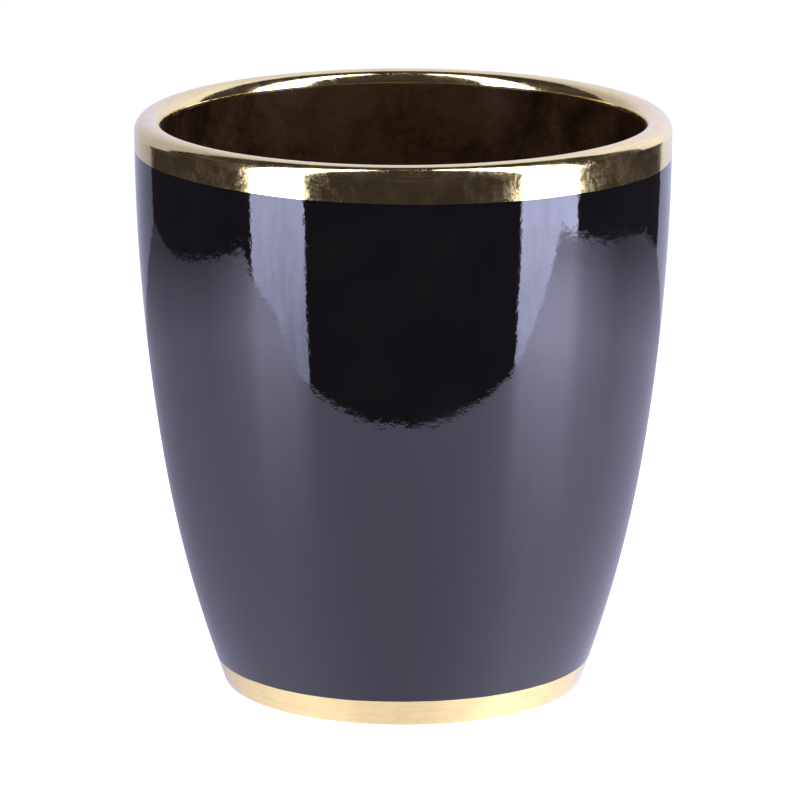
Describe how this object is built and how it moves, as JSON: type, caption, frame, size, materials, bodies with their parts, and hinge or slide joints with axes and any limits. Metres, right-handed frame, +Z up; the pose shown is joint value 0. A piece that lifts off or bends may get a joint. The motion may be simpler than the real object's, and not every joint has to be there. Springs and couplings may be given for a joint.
{
  "type": "cachepot",
  "caption": "Tapered ceramic cover pot with black glaze, a gold lustre band over the rounded rim and another round the foot; hides a plant's plain pot.",
  "frame": {"origin": "centre of the foot ring's underside, on the surface that the pot stands on", "axes": "+Z up along the pot's axis; X and Y are alike, because every piece is turned about Z"},
  "size_m": [0.14, 0.14, 0.1514],
  "materials": {
    "bare_clay": "unglazed, pale, matt",
    "brown_black_glaze": "gloss glaze, brown-black",
    "black_glaze": "high gloss glaze, black",
    "gold_lustre": "mirror-bright fired gold lustre"
  },
  "bodies": {
    "root": {"earthenware_body": "bare_clay", "lining_glaze": "brown_black_glaze", "black_glaze": "black_glaze", "underside_glaze": "black_glaze", "rim_gold_band": "gold_lustre", "foot_gold_band": "gold_lustre"}
  },
  "joints": []
}
